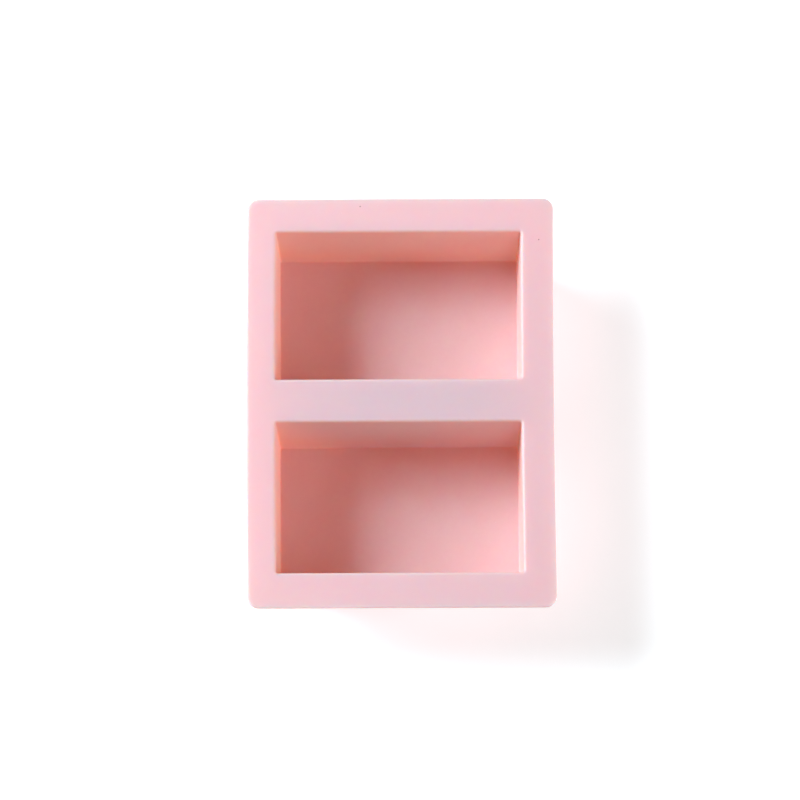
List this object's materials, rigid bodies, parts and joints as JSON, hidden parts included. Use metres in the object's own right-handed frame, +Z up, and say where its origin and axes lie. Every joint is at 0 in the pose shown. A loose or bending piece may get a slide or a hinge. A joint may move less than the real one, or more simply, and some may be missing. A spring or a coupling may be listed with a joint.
{
  "type": "soap mould",
  "caption": "Flexible silicone soap mould: a flat rectangular rim with rounded corners and deep, open-topped rectangular cups hanging below it.",
  "frame": {"origin": "on the surface that the mould stands on, under the middle of the rim", "axes": "+Z up out of the cavities, +Y from one cup to the other, +X along the long side of a bar"},
  "size_m": [0.1124, 0.1546, 0.037],
  "materials": {
    "silicone": "smooth satin, pale pink, slightly translucent silicone"
  },
  "bodies": {
    "root": {"mould_body": "silicone"}
  },
  "joints": []
}
